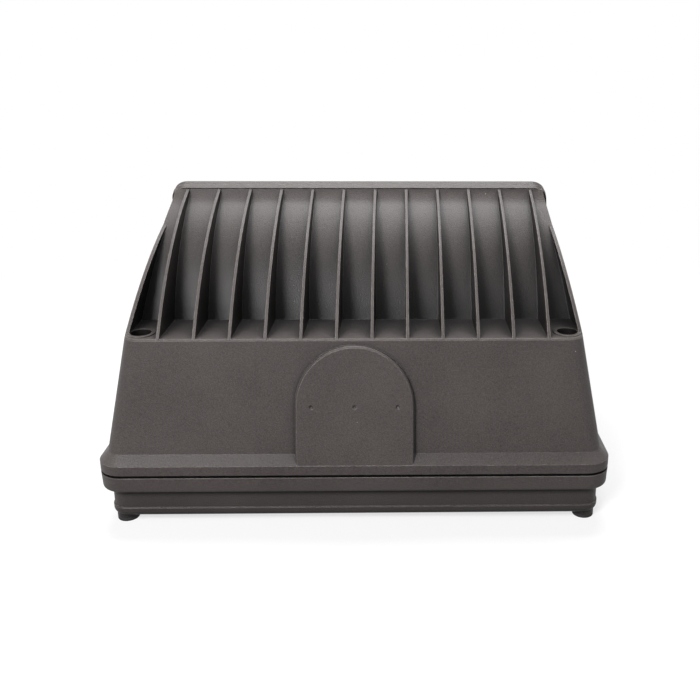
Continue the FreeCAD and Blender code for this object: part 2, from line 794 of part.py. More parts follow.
def lens_frame():
    base = lip_thickness
    body = prism(pane(frame_step, pane_radius, base), frame_thickness)
    body = body.makeFillet(frame_round, edges_where(body, lambda e: level_edge(e, base + frame_thickness)))
    window = prism(pane(frame_width, pane_radius - 6.0, base - 1.0), frame_thickness + 2.0)
    rebate_depth = lens_h + lens_thickness + 0.3 - base
    rebate = prism(pane(lens_inset - 0.5, pane_radius - 4.0, base - 1.0), rebate_depth + 1.0)
    body = body.cut(window).cut(rebate)
    for x, s in frame_screw_places():
        head = cylinder(frame_screw_head + 0.4, 10.0, x, s, base + frame_thickness - frame_screw_sink)
        hole = cylinder(frame_screw_radius + 0.3, 10.0, x, s, base - 1.0)
        body = body.cut(head).cut(hole)
    return to_slope(body)


def lens_glass():
    body = prism(pane(lens_inset, pane_radius - 4.0, lens_h), lens_thickness)
    return to_slope(body.makeChamfer(0.5, edges_where(body, lambda e: level_edge(e, lens_h)
                                                      or level_edge(e, lens_h + lens_thickness))))


def lens_gasket():
    low = lip_thickness - lens_rebate
    outer = prism(pane(lens_inset, pane_radius - 4.0, low), lens_gasket_thickness)
    inner = prism(pane(lens_inset + lens_gasket_width, pane_radius - 6.0, low), lens_gasket_thickness)
    return to_slope(outer.cut(inner))


def pan_screw(x, s, h, radius, length, head_radius, head_height):
    """A screw on the slope, with its head's underside at h and the head's rim bevelled."""
    head = cylinder(head_radius, head_height, x, s, h)
    head = head.makeChamfer(head_height * 0.4, edges_where(head, lambda e: level_edge(e, h + head_height)))
    shank = cylinder(radius - 0.02, length, x, s, h - length)
    return fuse(head, [shank])


def lens_frame_screws():
    base = lip_thickness + frame_thickness - frame_screw_sink
    return [to_slope(pan_screw(x, s, base, frame_screw_radius, frame_screw_length,
                               frame_screw_head, frame_screw_head_height))
            for x, s in frame_screw_places()]


# Light engine -----------------------------------------------------------------------------------

board_h = -chamber_depth + pad_sheet
board_s = board_start + board_length / 2
grommet_s = board_start - tray_clearance - tray_sheet - grommet_radius - grommet_flange - 1.0


def board_screw_places():
    half_x = board_width / 2 - board_screw_inset
    half_s = board_length / 2 - board_screw_inset
    return [(x, board_s + s) for x in (-half_x, 0.0, half_x) for s in (-half_s, half_s)]


def board_plate(low, thickness, margin):
    """A plate on the deck, smaller than the board by the margin all round."""
    half_x = board_width / 2 - margin
    return box(-half_x, half_x, board_start + margin, board_start + board_length - margin, low, low + thickness)


def led_board():
    plate = board_plate(board_h, board_thickness, 0.0)
    for x, s in board_screw_places():
        plate = plate.cut(cylinder(board_screw_radius + 0.3, 10.0, x, s, board_h - 1.0))
    return to_slope(plate)


def thermal_sheet():
    return to_slope(board_plate(-chamber_depth, pad_sheet, board_screw_inset + board_screw_head + 1.0))


def led_chips():
    """Square LED packages, in rows down the board."""
    chips = []
    low = board_h + board_thickness
    for row in range(led_rows):
        for column in range(led_columns):
            x = (column - (led_columns - 1) / 2) * led_pitch_x
            s = board_s + (row - (led_rows - 1) / 2) * led_pitch_s
            half = led_size / 2
            chips.append(to_slope(box(x - half, x + half, s - half, s + half, low, low + led_height)))
    return chips


def tray_outline(grow, h):
    """The board's outline with sharp corners, grown outwards."""
    half_x = board_width / 2 + grow
    low = board_start - grow
    high = board_start + board_length + grow
    points = [V(-half_x, low, h), V(half_x, low, h), V(half_x, high, h), V(-half_x, high, h)]
    return Part.makePolygon(points + [points[0]])


def tray_mouth(inset, h):
    """The chamber's outline with sharp corners, drawn in by the inset."""
    points = [V(x, s, h) for x, s in pane_corners(inset)]
    return Part.makePolygon(points + [points[0]])


def reflector_tray():
    """A white sheet-metal tray whose four sides flare from the board out to the lens."""
    low = -chamber_depth + 0.2
    high = -2.0
    grow = tray_sheet
    top = tray_mouth(chamber_inset + tray_top_inset, high)
    top_inner = tray_mouth(chamber_inset + tray_top_inset + grow, high)
    outer = frustum(tray_outline(tray_clearance + grow, low), top)
    inner = frustum(tray_outline(tray_clearance, low), top_inner)
    notch = box(grommet_x - tray_notch / 2, grommet_x + tray_notch / 2, board_start - 15.0, board_start + 3.0,
                low - 1.0, low + tray_notch_height)
    return to_slope(outer.cut(inner).cut(notch))


# Driver bay -------------------------------------------------------------------------------------

driver_y = y_ledge + driver_setback
bracket_x = driver_length / 2 + bracket_ear / 2 + 2.0
bracket_y = driver_y + driver_width / 2


def driver():
    """The sealed driver, screwed up against the underside of the ledge."""
    low = z_ledge - skin - driver_height
    points = [(-driver_length / 2, driver_y), (driver_length / 2, driver_y),
              (driver_length / 2, driver_y + driver_width), (-driver_length / 2, driver_y + driver_width)]
    body = prism(rounded_outline(points, driver_round, low), driver_height)
    return body.makeChamfer(1.0, edges_where(body, lambda e: level_edge(e, low)))


def driver_bracket():
    """A pressed strap that holds the driver by its base, with an ear at each end."""
    high = z_ledge - skin - driver_height
    half_x = bracket_x + bracket_ear / 2
    half_y = bracket_width / 2
    points = [(-half_x, bracket_y - half_y), (half_x, bracket_y - half_y),
              (half_x, bracket_y + half_y), (-half_x, bracket_y + half_y)]
    plate = prism(rounded_outline(points, bracket_corner, high - bracket_sheet), bracket_sheet)
    window_x = bracket_window[0] / 2
    window_y = bracket_window[1] / 2
    points = [(-window_x, bracket_y - window_y), (window_x, bracket_y - window_y),
              (window_x, bracket_y + window_y), (-window_x, bracket_y + window_y)]
    window = prism(rounded_outline(points, bracket_window[2], high - bracket_sheet - 1.0), bracket_sheet + 2.0)
    plate = plate.cut(window)
    for side in (-1, 1):
        plate = plate.cut(cylinder(bracket_screw_radius + 0.3, 10.0, side * bracket_x, bracket_y, high - 5.0))
    return plate


def lead(points, radius, bend):
    """A lead along straight runs joined by tangent arcs, with flat sides."""
    edges = []
    start = points[0]
    for i in range(1, len(points) - 1):
        into = (points[i - 1] - points[i]).normalize()
        out = (points[i + 1] - points[i]).normalize()
        half_angle = into.getAngle(out) / 2
        reach = bend / math.tan(half_angle)
        bisector = (into + out).normalize()
        centre = points[i] + bisector * (bend / math.sin(half_angle))
        edges.append(Part.makeLine(start, points[i] + into * reach))
        edges.append(Part.Arc(points[i] + into * reach, centre - bisector * bend,
                              points[i] + out * reach).toShape())
        start = points[i] + out * reach
    edges.append(Part.makeLine(start, points[-1]))
    along = (points[1] - points[0]).normalize()
    side = along.cross(V(0, 0, 1)).normalize() * radius
    rise = side.cross(along).normalize() * radius
    turns = [math.radians(360 / lead_sides * (i + 0.5)) for i in range(lead_sides)]
    ring = [points[0] + side * math.cos(turn) + rise * math.sin(turn) for turn in turns]
    profile = Part.makePolygon(ring + [ring[0]])
    return Part.Wire(edges).makePipe(Part.Face(profile))


def board_leads():
    """Two leads from the driver's end through the deck grommet to the board."""
    leads = []
    hole = lens_place.multVec(V(grommet_x, grommet_s, -chamber_depth - 14.0))
    inside = lens_place.multVec(V(grommet_x, grommet_s, -chamber_depth + 7.0))
    z = z_ledge - skin - driver_height * 0.55
    for i in (-1, 1):
        shift = V(i * lead_pitch / 2, 0, 0)
        y = driver_y + driver_width * lead_exit + i * lead_pitch / 2
        start = V(-driver_length / 2, y, z)
        turn = V(grommet_x, y, z) + shift
        leads.append(lead([start, turn, hole + shift, inside + shift], lead_radius, board_lead_bend))
    return leads


def lead_grommet():
    low = -chamber_depth - deck_thickness - grommet_lip
    body = cylinder(grommet_radius, deck_thickness + 2 * grommet_lip, grommet_x, grommet_s, low)
    for h in (low, -chamber_depth):
        body = fuse(body, [cylinder(grommet_radius + grommet_flange, grommet_lip, grommet_x, grommet_s, h)])
    for x in (grommet_x - lead_pitch / 2, grommet_x + lead_pitch / 2):
        body = body.cut(cylinder(lead_radius, 12.0, x, grommet_s, low - 1.0))
    return to_slope(body)


def supply_leads():
    """Three leads from the driver's other end down to the disconnect plug."""
    leads = []
    z = z_ledge - skin - driver_height * 0.6
    for i in (-1, 0, 1):
        y = driver_y + driver_width * lead_exit + i * lead_pitch
        start = V(driver_length / 2, y, z)
        turn = V(driver_length / 2 + supply_reach + i, y, z)
        leads.append(lead([start, turn, V(turn.x, y, z - plug_drop)], lead_radius, supply_lead_bend))
    return leads


def supply_plug():
    """The disconnect plug on the supply leads."""
    z = z_ledge - skin - driver_height * 0.6 - plug_drop
    x = driver_length / 2 + supply_reach
    y = driver_y + driver_width * lead_exit
    low = z - plug_size[2]
    body = box(x - plug_size[0] / 2, x + plug_size[0] / 2, y - plug_size[1] / 2, y + plug_size[1] / 2, low, z)
    return body.makeChamfer(1.0, edges_where(body, lambda e: level_edge(e, low)))


# Captive screws, drawn backed out of the back box so that the housing can swing open -------------

screw_seat_z = screw_floor_z + screw_floor + seat_gap + oring_thickness
screw_head_z = screw_seat_z + screw_travel
screw_tip_z = z_band + screw_tip_clearance


def captive_screw(side):
    length = screw_head_z - screw_tip_z
    body = hex_screw(screw_radius, length, screw_head_radius, screw_head_height,
                     side * screw_x, y_screw, screw_head_z)
    slot = box(side * screw_x - screw_head_radius, side * screw_x + screw_head_radius, y_screw - 0.7,
               y_screw + 0.7, screw_head_z + screw_head_height - 1.8, screw_head_z + screw_head_height + 1.0)
    return body.cut(slot)


def screw_seal(side):
    seal = cylinder(screw_radius + 2.4, oring_thickness, side * screw_x, y_screw, screw_head_z - oring_thickness)
    seal = seal.makeChamfer(0.4, edges_where(seal, lambda e: len(e.Vertexes) == 1))
    return seal.cut(cylinder(screw_radius, 10.0, side * screw_x, y_screw, screw_head_z - 5.0))


def screw_retainer(side):
    high = screw_floor_z - seat_gap
    disc = cylinder(washer_radius, washer_thickness, side * screw_x, y_screw, high - washer_thickness)
    return disc.cut(cylinder(screw_radius, 10.0, side * screw_x, y_screw, high - 5.0))


save("back_box", back_box())
save("foot_pads", foot_pads())
save("housing_gasket", housing_gasket())
save("conduit_plug", conduit_plug())
save("hinge_pins", hinge_pins())
save("terminal_block", terminal_block())
save("ground_screw", ground_screw())
save("front_housing", front_housing())
save("lens_frame", lens_frame())
save("lens_glass", lens_glass())
save("lens_gasket", lens_gasket())
save("lens_frame_screws", lens_frame_screws())
save("led_board", led_board())
save("thermal_sheet", thermal_sheet())
save("led_chips", led_chips())
save("reflector_tray", reflector_tray())
save("driver", driver())
save("driver_bracket", driver_bracket())
save("board_leads", board_leads())
save("lead_grommet", lead_grommet())
save("supply_leads", supply_leads())
save("supply_plug", supply_plug())
for side_name, side_sign in (("left", -1), ("right", 1)):
    save("captive_screw_" + side_name, captive_screw(side_sign))
    save("screw_seal_" + side_name, screw_seal(side_sign))
    save("screw_retainer_" + side_name, screw_retainer(side_sign))
print(f"screw travel {screw_travel:.2f}, lens plane length {slope_length:.1f}")
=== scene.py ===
import json
import math

import bmesh
import bpy
from mathutils import Matrix, Vector

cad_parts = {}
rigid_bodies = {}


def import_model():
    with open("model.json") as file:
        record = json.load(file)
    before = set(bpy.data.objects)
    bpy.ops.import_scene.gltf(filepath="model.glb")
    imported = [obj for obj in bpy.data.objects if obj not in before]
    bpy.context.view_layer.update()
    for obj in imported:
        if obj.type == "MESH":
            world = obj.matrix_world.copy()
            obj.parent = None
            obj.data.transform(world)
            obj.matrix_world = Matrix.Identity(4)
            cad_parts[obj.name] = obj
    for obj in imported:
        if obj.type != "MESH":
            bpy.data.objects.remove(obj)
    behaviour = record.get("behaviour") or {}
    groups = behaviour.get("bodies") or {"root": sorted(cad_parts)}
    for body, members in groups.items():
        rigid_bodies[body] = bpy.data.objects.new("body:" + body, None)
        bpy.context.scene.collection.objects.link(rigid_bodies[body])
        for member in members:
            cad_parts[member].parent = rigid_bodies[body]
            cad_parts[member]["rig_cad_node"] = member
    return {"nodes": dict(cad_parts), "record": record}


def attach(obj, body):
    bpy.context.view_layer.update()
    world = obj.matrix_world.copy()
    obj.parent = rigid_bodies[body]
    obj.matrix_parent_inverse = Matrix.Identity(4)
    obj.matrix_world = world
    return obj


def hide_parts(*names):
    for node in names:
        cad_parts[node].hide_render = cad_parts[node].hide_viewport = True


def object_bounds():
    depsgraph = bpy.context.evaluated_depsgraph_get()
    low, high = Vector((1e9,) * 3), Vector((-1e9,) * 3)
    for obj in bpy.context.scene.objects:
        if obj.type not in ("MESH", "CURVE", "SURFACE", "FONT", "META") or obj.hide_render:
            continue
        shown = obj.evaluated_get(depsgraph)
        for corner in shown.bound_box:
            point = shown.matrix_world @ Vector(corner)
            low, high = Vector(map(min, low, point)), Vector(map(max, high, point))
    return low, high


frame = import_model()
cadNodes = frame["nodes"]
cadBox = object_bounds()
mm = 0.001
print("frame loaded with", len(cadNodes), "nodes")


# camera, fitted to the photo

camera = {
    "place": (0.0313, -0.6658, 0.3416),
    "turn": 0.021,              # radians to the right of +Y
    "pitch": 0.297,             # radians below the horizon
    "roll": 0.0043,
    "lens": 43.51,
    "sensor": 36,
    "shift": (-0.0939, -0.0823),
    "clip": (0.01, 50),
}


def makeCamera():
    data = bpy.data.cameras.new("camera")
    data.lens = camera["lens"]
    data.sensor_width = camera["sensor"]
    data.shift_x, data.shift_y = camera["shift"]
    data.clip_start, data.clip_end = camera["clip"]
    eye = bpy.data.objects.new("camera", data)
    bpy.context.scene.collection.objects.link(eye)
    turn, pitch, roll = camera["turn"], camera["pitch"], camera["roll"]
    flat = math.cos(pitch)
    look = Vector((math.sin(turn) * flat, math.cos(turn) * flat, -math.sin(pitch)))
    across = look.cross(Vector((0, 0, 1))).normalized()
    right = across * math.cos(roll) + across.cross(look) * math.sin(roll)
    matrix = Matrix((right, right.cross(look), -look)).transposed().to_4x4()
    matrix.translation = camera["place"]
    eye.matrix_world = matrix
    bpy.context.scene.camera = eye


makeCamera()
print("camera set")


# node helpers

def addNode(tree, kind, **settings):
    node = tree.nodes.new(kind)
    for name, value in settings.items():
        setattr(node, name, value)
    return node


def feed(tree, socket, value):  # by a link from another socket, or by a plain value
    if isinstance(value, bpy.types.NodeSocket):
        tree.links.new(value, socket)
    else:
        socket.default_value = value


def mathNode(tree, operation, first, second):
    node = addNode(tree, "ShaderNodeMath", operation=operation)
    feed(tree, node.inputs[0], first)
    feed(tree, node.inputs[1], second)
    return node.outputs[0]


def rangeNode(tree, value, fromLow, fromHigh, toLow=0.0, toHigh=1.0):
    node = addNode(tree, "ShaderNodeMapRange")
    tree.links.new(value, node.inputs["Value"])
    ends = {"From Min": fromLow, "From Max": fromHigh, "To Min": toLow, "To Max": toHigh}
    for name, number in ends.items():
        node.inputs[name].default_value = number
    return node.outputs["Result"]


def mixColours(tree, factor, first, second):
    node = addNode(tree, "ShaderNodeMix", data_type="RGBA")
    tree.links.new(factor, node.inputs[0])
    sockets = [s for s in node.inputs if s.type == "RGBA"]
    for socket, value in zip(sockets, (first, second)):
        feed(tree, socket, value if isinstance(value, bpy.types.NodeSocket) else (*value, 1))
    return [s for s in node.outputs if s.type == "RGBA"][0]


def newGroup(name, inputs, outputs):
    group = bpy.data.node_groups.new(name, "ShaderNodeTree")
    for label, kind, value in inputs:
        socket = group.interface.new_socket(name=label, in_out="INPUT", socket_type=kind)
        if value is not None:
            socket.default_value = value
    for label, kind in outputs:
        group.interface.new_socket(name=label, in_out="OUTPUT", socket_type=kind)
    return group, addNode(group, "NodeGroupInput"), addNode(group, "NodeGroupOutput")


# shared effects

effectValues = {
    "noiseSpan": (0.3, 0.7),    # the noise that counts as 0 and as 1
    "grainDetail": 3, "patchDetail": 4,
    "wearDetail": 3, "wearSpan": (0.35, 0.65), "wearLeast": 0.35,
    "edgeSpan": (0.02, 0.16),   # how far a rounded edge turns where the edge wear and painted highlight start and where they are full
    "lineDetail": 2, "lineStretch": (0.04, 1, 1),
}


def noiseOf(group, vector, scale, detail):
    noise = addNode(group, "ShaderNodeTexNoise")
    noise.inputs["Detail"].default_value = detail
    group.links.new(vector, noise.inputs["Vector"])
    group.links.new(scale, noise.inputs["Scale"])
    return noise.outputs[0]


def makeGrain():                # fine bumps with broad, soft patches of lighter and darker colour
    group, given, out = newGroup("surfaceGrain", [
        ("Vector", "NodeSocketVector", None), ("Grains per Metre", "NodeSocketFloat", 1200.0),
        ("Patches per Metre", "NodeSocketFloat", 30.0), ("Patch Share", "NodeSocketFloat", 0.5)],
        [("Shade", "NodeSocketFloat"), ("Height", "NodeSocketFloat")])
    vector, share = given.outputs["Vector"], given.outputs["Patch Share"]
    fine = noiseOf(group, vector, given.outputs["Grains per Metre"], effectValues["grainDetail"])
    broad = noiseOf(group, vector, given.outputs["Patches per Metre"], effectValues["patchDetail"])
    grain = rangeNode(group, fine, *effectValues["noiseSpan"])
    patch = rangeNode(group, broad, *effectValues["noiseSpan"])
    mixed = mathNode(group, "ADD", mathNode(group, "MULTIPLY", patch, share),
                     mathNode(group, "MULTIPLY", grain, mathNode(group, "SUBTRACT", 1.0, share)))
    group.links.new(mixed, out.inputs["Shade"])
    group.links.new(grain, out.inputs["Height"])
    return group


def makeSpecks():               # scattered specks of dust
    group, given, out = newGroup("dustSpecks", [
        ("Vector", "NodeSocketVector", None), ("Cells per Metre", "NodeSocketFloat", 90.0),
        ("Size", "NodeSocketFloat", 0.05), ("Share", "NodeSocketFloat", 0.3)],
        [("Mask", "NodeSocketFloat")])
    cells = addNode(group, "ShaderNodeTexVoronoi")
    group.links.new(given.outputs["Vector"], cells.inputs["Vector"])
    group.links.new(given.outputs["Cells per Metre"], cells.inputs["Scale"])
    spot = mathNode(group, "LESS_THAN", cells.outputs["Distance"], given.outputs["Size"])
    split = addNode(group, "ShaderNodeSeparateColor")
    group.links.new(cells.outputs["Color"], split.inputs[0])
    chosen = mathNode(group, "LESS_THAN", split.outputs[0], given.outputs["Share"])
    group.links.new(mathNode(group, "MULTIPLY", spot, chosen), out.inputs["Mask"])
    return group


def makeWearAndHighlight():                 # lighter along edges, broken up by noise: thin coat worn through, and a painted highlight
    group, given, out = newGroup("edgeWearAndHighlight", [
        ("Vector", "NodeSocketVector", None), ("Edge", "NodeSocketFloat", 0.0),
        ("Breaks per Metre", "NodeSocketFloat", 220.0), ("Amount", "NodeSocketFloat", 0.6)],
        [("Mask", "NodeSocketFloat")])
    noise = noiseOf(group, given.outputs["Vector"], given.outputs["Breaks per Metre"],
                    effectValues["wearDetail"])
    broken = rangeNode(group, noise, *effectValues["wearSpan"], effectValues["wearLeast"])
    edge = rangeNode(group, given.outputs["Edge"], *effectValues["edgeSpan"])
    mask = mathNode(group, "MULTIPLY", mathNode(group, "MULTIPLY", edge, broken), given.outputs["Amount"])
    group.links.new(mask, out.inputs["Mask"])
    return group


def makeBrushed():              # drawn or turned lines along X
    group, given, out = newGroup("brushedLines", [
        ("Vector", "NodeSocketVector", None), ("Lines per Metre", "NodeSocketFloat", 2600.0)],
        [("Shade", "NodeSocketFloat"), ("Height", "NodeSocketFloat")])
    stretch = addNode(group, "ShaderNodeMapping")
    stretch.inputs["Scale"].default_value = effectValues["lineStretch"]
    group.links.new(given.outputs["Vector"], stretch.inputs["Vector"])
    noise = noiseOf(group, stretch.outputs[0], given.outputs["Lines per Metre"], effectValues["lineDetail"])
    lines = rangeNode(group, noise, *effectValues["noiseSpan"])
    group.links.new(lines, out.inputs["Shade"])
    group.links.new(lines, out.inputs["Height"])
    return group


effects = {"grain": makeGrain(), "specks": makeSpecks(), "wearAndHighlight": makeWearAndHighlight(), "brushed": makeBrushed()}
print("shared effects made")


# materials, one for each slot of the record

def startMaterial(name):
    material = bpy.data.materials.new(name)
    material.use_nodes = True
    tree = material.node_tree
    shader = [n for n in tree.nodes if n.type == "BSDF_PRINCIPLED"][0]
    vector = addNode(tree, "ShaderNodeTexCoord").outputs["Object"]
    return material, tree, shader, vector


def useEffect(tree, effect, vector, **values):
    node = addNode(tree, "ShaderNodeGroup", node_tree=effects[effect])
    tree.links.new(vector, node.inputs["Vector"])
    for name, value in values.items():
        feed(tree, node.inputs[name.replace("_", " ")], value)
    return node


def grainOf(tree, vector, grains, patches, share):
    return useEffect(tree, "grain", vector, Grains_per_Metre=grains, Patches_per_Metre=patches,
                     Patch_Share=share)


def roughen(tree, shade, shader, span):
    tree.links.new(rangeNode(tree, shade, 0.0, 1.0, *span), shader.inputs["Roughness"])


def bumpFrom(tree, height, shader, strength, depth, normal=None):
    bump = addNode(tree, "ShaderNodeBump")
    bump.inputs["Strength"].default_value = strength
    bump.inputs["Distance"].default_value = depth
    tree.links.new(height, bump.inputs["Height"])
    if normal:
        tree.links.new(normal, bump.inputs["Normal"])
    tree.links.new(bump.outputs[0], shader.inputs["Normal"])


def softNormal(tree, radius, samples):      # the surface as if its edges were rounded
    soft = addNode(tree, "ShaderNodeBevel", samples=samples)
    soft.inputs["Radius"].default_value = radius
    return soft.outputs[0]


def edgeOf(tree, softened):     # how far the rounded surface turns away from the flat one
    geometry = addNode(tree, "ShaderNodeNewGeometry")
    product = addNode(tree, "ShaderNodeVectorMath", operation="DOT_PRODUCT")
    tree.links.new(softened, product.inputs[0])
    tree.links.new(geometry.outputs["Normal"], product.inputs[1])
    return mathNode(tree, "SUBTRACT", 1.0, product.outputs["Value"])


powderCoat = {
    "dark": (0.036, 0.0305, 0.0290), "light": (0.082, 0.071, 0.068), "wornAndHighlight": (0.27, 0.25, 0.24),
    "dust": (0.34, 0.33, 0.32), "grains": 1250.0, "patches": 26.0, "patchShare": 0.25,
    "roughness": (0.36, 0.50), "specular": 0.22, "bump": 0.50, "bumpDepth": 0.00018,
    "edgeRadius": 0.0009, "edgeSamples": 6, "wearAndHighlight": 1.0,
    "specks": 90.0, "speckSize": 0.030, "speckShare": 0.22,
    "paintedShadeReach": 0.034,      # painted shade: how near a wall has to be to darken a point, in metres
    "paintedShadeSamples": 8,
    "paintedShadeOpen": (0.36, 0.97),    # how open a point is where the painted shade is darkest and where the coat is full
    "paintedShadeDarkest": 0.09,
}


def makePowderCoat():
    values = powderCoat
    material, tree, shader, vector = startMaterial("powderCoat")
    grain = grainOf(tree, vector, values["grains"], values["patches"], values["patchShare"])
    colour = mixColours(tree, grain.outputs["Shade"], values["dark"], values["light"])
    softened = softNormal(tree, values["edgeRadius"], values["edgeSamples"])
    # edge wear and painted highlight: rounded edges turned towards a pale colour
    wearAndHighlight = useEffect(tree, "wearAndHighlight", vector, Edge=edgeOf(tree, softened), Amount=values["wearAndHighlight"])
    colour = mixColours(tree, wearAndHighlight.outputs["Mask"], colour, values["wornAndHighlight"])
    specks = useEffect(tree, "specks", vector, Cells_per_Metre=values["specks"], Size=values["speckSize"],
                       Share=values["speckShare"])
    colour = mixColours(tree, specks.outputs["Mask"], colour, values["dust"])
    # painted shade: the coat's colour darkened in crevices, between fins and under overhangs, by ambient
    # occlusion
    paintedShadeOcclusion = addNode(tree, "ShaderNodeAmbientOcclusion", samples=values["paintedShadeSamples"])
    paintedShadeOcclusion.inputs["Distance"].default_value = values["paintedShadeReach"]
    paintedShadeFactor = rangeNode(tree, paintedShadeOcclusion.outputs["AO"], *values["paintedShadeOpen"], values["paintedShadeDarkest"])
    shade = addNode(tree, "ShaderNodeVectorMath", operation="SCALE")     # painted shade: the colour darker where little light gets in
    tree.links.new(colour, shade.inputs[0])
    tree.links.new(paintedShadeFactor, shade.inputs["Scale"])
    tree.links.new(shade.outputs[0], shader.inputs["Base Color"])
    roughen(tree, grain.outputs["Shade"], shader, values["roughness"])
    shader.inputs["Specular IOR Level"].default_value = values["specular"]
    bumpFrom(tree, grain.outputs["Height"], shader, values["bump"], values["bumpDepth"], softened)
    return material


paints = {                      # dark, light, grains, patches, patch share, roughness, bump, specular
    "groundGreen": ((0.02, 0.20, 0.06), (0.04, 0.27, 0.09),
                    900.0, 60.0, 0.6, (0.32, 0.42), 0.06, 0.5),
    "reflectorWhite": ((0.80, 0.80, 0.79), (0.90, 0.90, 0.89),
                       1300.0, 20.0, 0.5, (0.34, 0.48), 0.10, 0.5),
    "driverEnamel": ((0.62, 0.62, 0.61), (0.74, 0.74, 0.73),
                     1100.0, 26.0, 0.5, (0.36, 0.50), 0.10, 0.5),
    "boardWhite": ((0.76, 0.77, 0.76), (0.86, 0.87, 0.86),
                   700.0, 40.0, 0.7, (0.38, 0.50), 0.04, 0.5),
    "terminalPlastic": ((0.66, 0.64, 0.56), (0.74, 0.72, 0.65),
                        900.0, 45.0, 0.5, (0.48, 0.60), 0.10, 0.45),
    "plugPlastic": ((0.58, 0.19, 0.02), (0.72, 0.27, 0.04),
                    900.0, 60.0, 0.5, (0.42, 0.54), 0.10, 0.45),
    "leadInsulation": ((0.014, 0.014, 0.016), (0.026, 0.026, 0.029),
                       800.0, 80.0, 0.5, (0.30, 0.44), 0.08, 0.5),
    "thermalGrey": ((0.22, 0.23, 0.24), (0.31, 0.32, 0.33),
                    1800.0, 50.0, 0.4, (0.75, 0.90), 0.20, 0.3),
    "rubber": ((0.011, 0.011, 0.011), (0.026, 0.026, 0.026),
               1600.0, 60.0, 0.4, (0.68, 0.85), 0.25, 0.35),
    "gasketFoam": ((0.016, 0.016, 0.017), (0.040, 0.040, 0.042),
                   2600.0, 60.0, 0.2, (0.80, 0.95), 0.45, 0.25),
    "ledPhosphor": ((0.62, 0.42, 0.05), (0.78, 0.56, 0.10),
                    2400.0, 300.0, 0.4, (0.22, 0.30), 0.03, 0.5),
}


paintDust = {"cells": 90.0, "size": 0.04, "share": 0.08, "colour": (0.5, 0.49, 0.47), "cover": 0.5}
paintBumpDepth = 0.0002


def makePaint(name):
    dark, light, grains, patches, share, roughness, bump, specular = paints[name]
    material, tree, shader, vector = startMaterial(name)
    grain = grainOf(tree, vector, grains, patches, share)
    specks = useEffect(tree, "specks", vector, Cells_per_Metre=paintDust["cells"], Size=paintDust["size"],
                       Share=paintDust["share"])
    colour = mixColours(tree, grain.outputs["Shade"], dark, light)
    cover = paintDust["cover"]
    dusty = [(1 - cover) * own + cover * dust for own, dust in zip(light, paintDust["colour"])]
    colour = mixColours(tree, specks.outputs["Mask"], colour, dusty)
    tree.links.new(colour, shader.inputs["Base Color"])
    roughen(tree, grain.outputs["Shade"], shader, roughness)
    shader.inputs["Specular IOR Level"].default_value = specular
    bumpFrom(tree, grain.outputs["Height"], shader, bump, paintBumpDepth)
    return material


steel = {
    "dark": (0.42, 0.42, 0.43), "light": (0.64, 0.64, 0.65), "roughness": (0.24, 0.42), "lines": 2600.0,
    "grains": 900.0, "patches": 120.0, "patchShare": 0.8, "bump": 0.06, "bumpDepth": 0.0001,
}


def makeSteel():
    material, tree, shader, vector = startMaterial("zincSteel")
    brushed = useEffect(tree, "brushed", vector, Lines_per_Metre=steel["lines"])
    patches = grainOf(tree, vector, steel["grains"], steel["patches"], steel["patchShare"])
    both = mathNode(tree, "ADD", brushed.outputs["Shade"], patches.outputs["Shade"])
    shade = mathNode(tree, "MULTIPLY", both, 0.5)
    tree.links.new(mixColours(tree, shade, steel["dark"], steel["light"]), shader.inputs["Base Color"])
    roughen(tree, shade, shader, steel["roughness"])
    shader.inputs["Metallic"].default_value = 1
    bumpFrom(tree, brushed.outputs["Height"], shader, steel["bump"], steel["bumpDepth"])
    return material


glass = {
    "tint": (0.93, 0.97, 0.95), "ior": 1.5, "grains": 700.0, "patches": 14.0, "patchShare": 0.8,
    "film": (0.02, 0.10), "filmSpan": (0.3, 0.8),       # roughness, and the shades it runs between
}


def makeGlass():                # tempered, with a thin film of dust
    material, tree, shader, vector = startMaterial("lensGlass")
    grain = grainOf(tree, vector, glass["grains"], glass["patches"], glass["patchShare"])
    shader.inputs["Base Color"].default_value = (*glass["tint"], 1)
    film = rangeNode(tree, grain.outputs["Shade"], *glass["filmSpan"], *glass["film"])
    tree.links.new(film, shader.inputs["Roughness"])
    shader.inputs["Transmission Weight"].default_value = 1
    shader.inputs["IOR"].default_value = glass["ior"]
    return material


materials = {name: makePaint(name) for name in paints}
materials["powderCoat"] = makePowderCoat()
materials["zincSteel"] = makeSteel()
materials["lensGlass"] = makeGlass()
slotMaterials = {
    "powder_coat": "powderCoat", "rubber": "rubber", "gasket_foam": "gasketFoam", "steel": "zincSteel",
    "terminal_plastic": "terminalPlastic", "ground_green": "groundGreen", "lens_glass": "lensGlass",
    "board_white": "boardWhite", "thermal_grey": "thermalGrey", "led_phosphor": "ledPhosphor",
    "reflector_white": "reflectorWhite", "driver_can": "driverEnamel", "lead_insulation": "leadInsulation",
    "plug_plastic": "plugPlastic",
}
nodeSlots = {part["node"]: part["material_slot"] for part in frame["record"]["subparts"]}
bodies = frame["record"]["behaviour"]["bodies"]
nodeBodies = {node: body for body, nodes in bodies.items() for node in nodes}
for name, node in cadNodes.items():
    node.data.materials.clear()
    node.data.materials.append(materials[slotMaterials[nodeSlots[name]]])
print("materials made:", len(materials))


# modelling helpers

tiny = 1e-6                     # metres: closer than this counts as the same place


def clearSelection():
    bpy.ops.object.select_all(action="DESELECT")


def activate(piece):
    if bpy.context.object and bpy.context.object.mode != "OBJECT":
        bpy.ops.object.mode_set(mode="OBJECT")
    clearSelection()
    piece.select_set(True)
    bpy.context.view_layer.objects.active = piece


def rename(piece, name):
    piece.name = name
    piece.data.name = name


def newest(name):
    piece = bpy.context.active_object
    rename(piece, name)
    bpy.ops.object.transform_apply(location=True, rotation=True, scale=True)
    return piece


